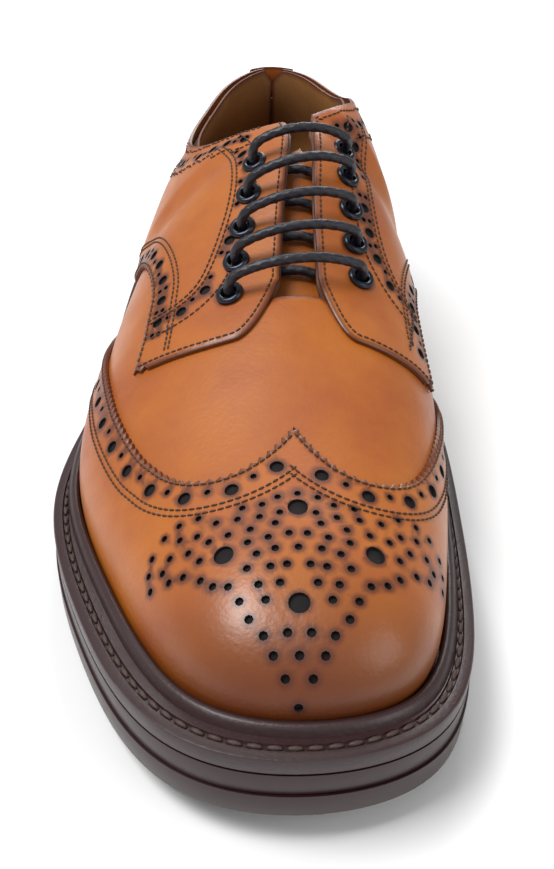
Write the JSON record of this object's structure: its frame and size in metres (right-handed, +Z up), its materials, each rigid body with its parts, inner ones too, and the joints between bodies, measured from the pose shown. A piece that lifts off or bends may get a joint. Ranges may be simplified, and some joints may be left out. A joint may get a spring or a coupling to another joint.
{
  "type": "laced leather shoe",
  "caption": "Right-foot tan leather brogue shoe with open lacing, a pierced wing cap, a storm welt, a double sole and a stacked heel.",
  "frame": {"origin": "on the ground under the middle of the outsole's bounding box", "axes": "+Z up, +Y towards the heel, -Y towards the toe, +X towards the foot's inner side"},
  "size_m": [0.1139, 0.306, 0.0991],
  "materials": {
    "upper_leather": "satin",
    "lining_leather": "matte",
    "sole_edge": "satin",
    "welt_leather": "satin",
    "heel_rubber": "matte",
    "nail_brass": "satin",
    "eyelet_metal": "satin",
    "lace_cotton": "matte",
    "aglet_plastic": "gloss",
    "shank_steel": "brushed",
    "cork": "matte",
    "stiffener_board": "matte",
    "insole_leather": "matte"
  },
  "bodies": {
    "shoe": {"back_strip": "upper_leather", "cork_filler": "cork", "eyelet_inner_1": "eyelet_metal", "eyelet_inner_2": "eyelet_metal", "eyelet_inner_3": "eyelet_metal", "eyelet_inner_4": "eyelet_metal", "eyelet_inner_5": "eyelet_metal", "eyelet_outer_1": "eyelet_metal", "eyelet_outer_2": "eyelet_metal", "eyelet_outer_3": "eyelet_metal", "eyelet_outer_4": "eyelet_metal", "eyelet_outer_5": "eyelet_metal", "heel_counter": "upper_leather", "heel_lift_1": "sole_edge", "heel_lift_2": "sole_edge", "heel_lift_3": "sole_edge", "heel_nail_1": "nail_brass", "heel_nail_2": "nail_brass", "heel_nail_3": "nail_brass", "heel_nail_4": "nail_brass", "heel_nail_5": "nail_brass", "heel_sock": "lining_leather", "heel_stiffener": "stiffener_board", "insole": "insole_leather", "lace": "lace_cotton", "lace_aglet_1": "aglet_plastic", "lace_aglet_2": "aglet_plastic", "midsole": "sole_edge", "outsole": "sole_edge", "quarter_inner": "upper_leather", "quarter_lining_inner": "lining_leather", "quarter_lining_outer": "lining_leather", "quarter_outer": "upper_leather", "seat_filler": "insole_leather", "shank": "shank_steel", "toe_puff": "stiffener_board", "top_piece": "heel_rubber", "vamp": "upper_leather", "vamp_lining": "lining_leather", "welt": "welt_leather", "wing_cap": "upper_leather"},
    "tongue": {"tongue": "upper_leather"}
  },
  "joints": [
    {"name": "tongue_fold", "type": "hinge", "parent": "shoe", "child": "tongue", "pos_m": [0.0085, -0.054, 0.0512], "axis": [1, 0, 0], "range_deg": [-12, 0], "stiffness_Nm_per_rad": 0.05, "springref_deg": 8.59}
  ]
}
